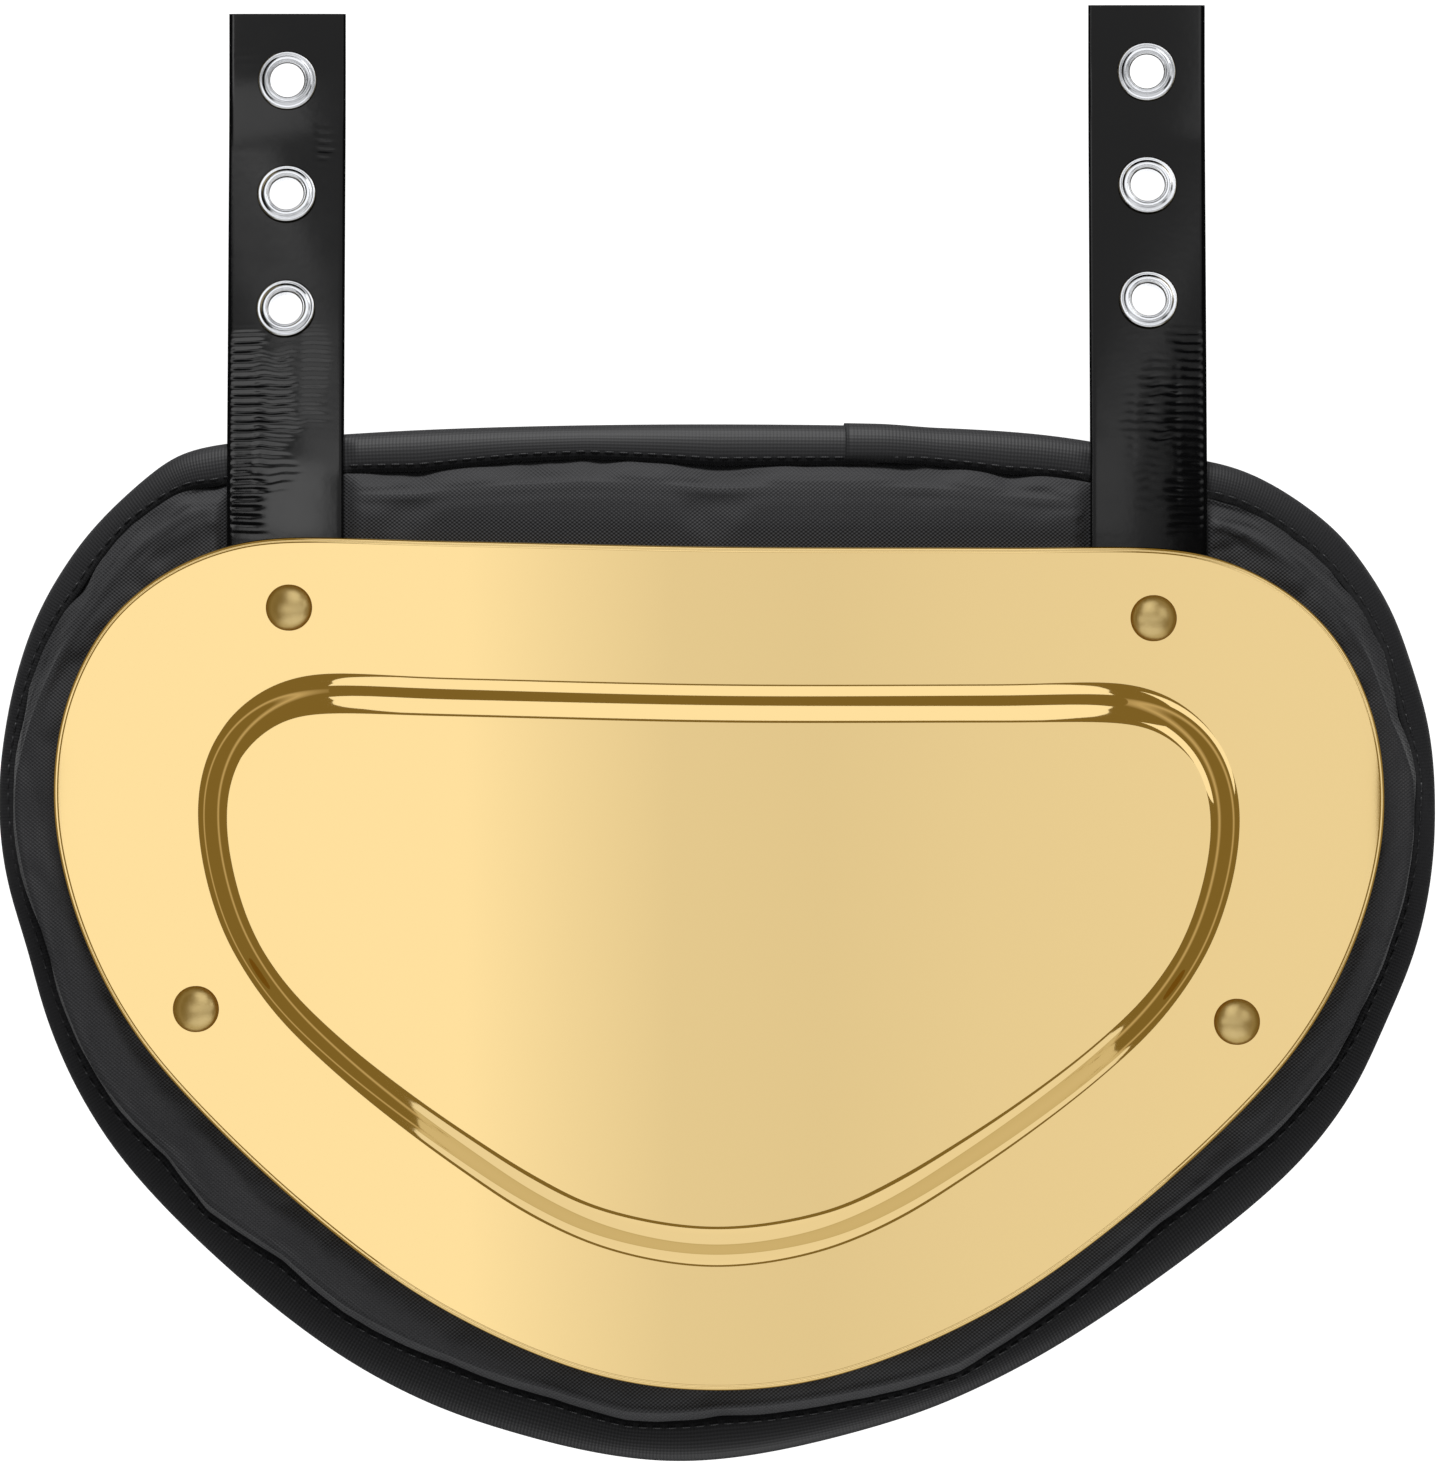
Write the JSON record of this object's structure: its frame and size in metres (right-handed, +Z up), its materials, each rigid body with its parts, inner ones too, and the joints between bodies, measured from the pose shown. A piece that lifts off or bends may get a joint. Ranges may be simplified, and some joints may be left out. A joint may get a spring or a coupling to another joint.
{
  "type": "football back plate",
  "caption": "Curved hard plate with a raised panel over a cloth-covered foam pad, with two webbing straps that fasten it below shoulder pads by eyelets.",
  "frame": {"origin": "bottom centre of the whole object's box as it lies face up on a level surface", "axes": "+Z up, out of the crown of the shell; +Y from the pad towards the strap tips; +X across the plate, towards the right as seen from the front"},
  "size_m": [0.3125, 0.3164, 0.0412],
  "materials": {
    "gold_plate": "mirror-bright gold-coloured plating on moulded plastic",
    "satin_gold": "satin gold-coloured plating",
    "pad_cloth": "black nylon oxford cloth over foam",
    "binding_tape": "black ribbed grosgrain tape",
    "coated_webbing": "semi-gloss vinyl-coated webbing, creased",
    "nickel": "bright nickel plating on steel"
  },
  "bodies": {
    "root": {"shell": "gold_plate", "pad": "pad_cloth", "binding": "binding_tape", "strap_left": "coated_webbing", "strap_right": "coated_webbing", "eyelet_left_1": "nickel", "eyelet_left_2": "nickel", "eyelet_left_3": "nickel", "eyelet_right_1": "nickel", "eyelet_right_2": "nickel", "eyelet_right_3": "nickel", "washer_left_1": "nickel", "washer_left_2": "nickel", "washer_left_3": "nickel", "washer_right_1": "nickel", "washer_right_2": "nickel", "washer_right_3": "nickel", "rivet_upper_left": "satin_gold", "rivet_upper_right": "satin_gold", "rivet_lower_left": "satin_gold", "rivet_lower_right": "satin_gold"}
  },
  "joints": []
}
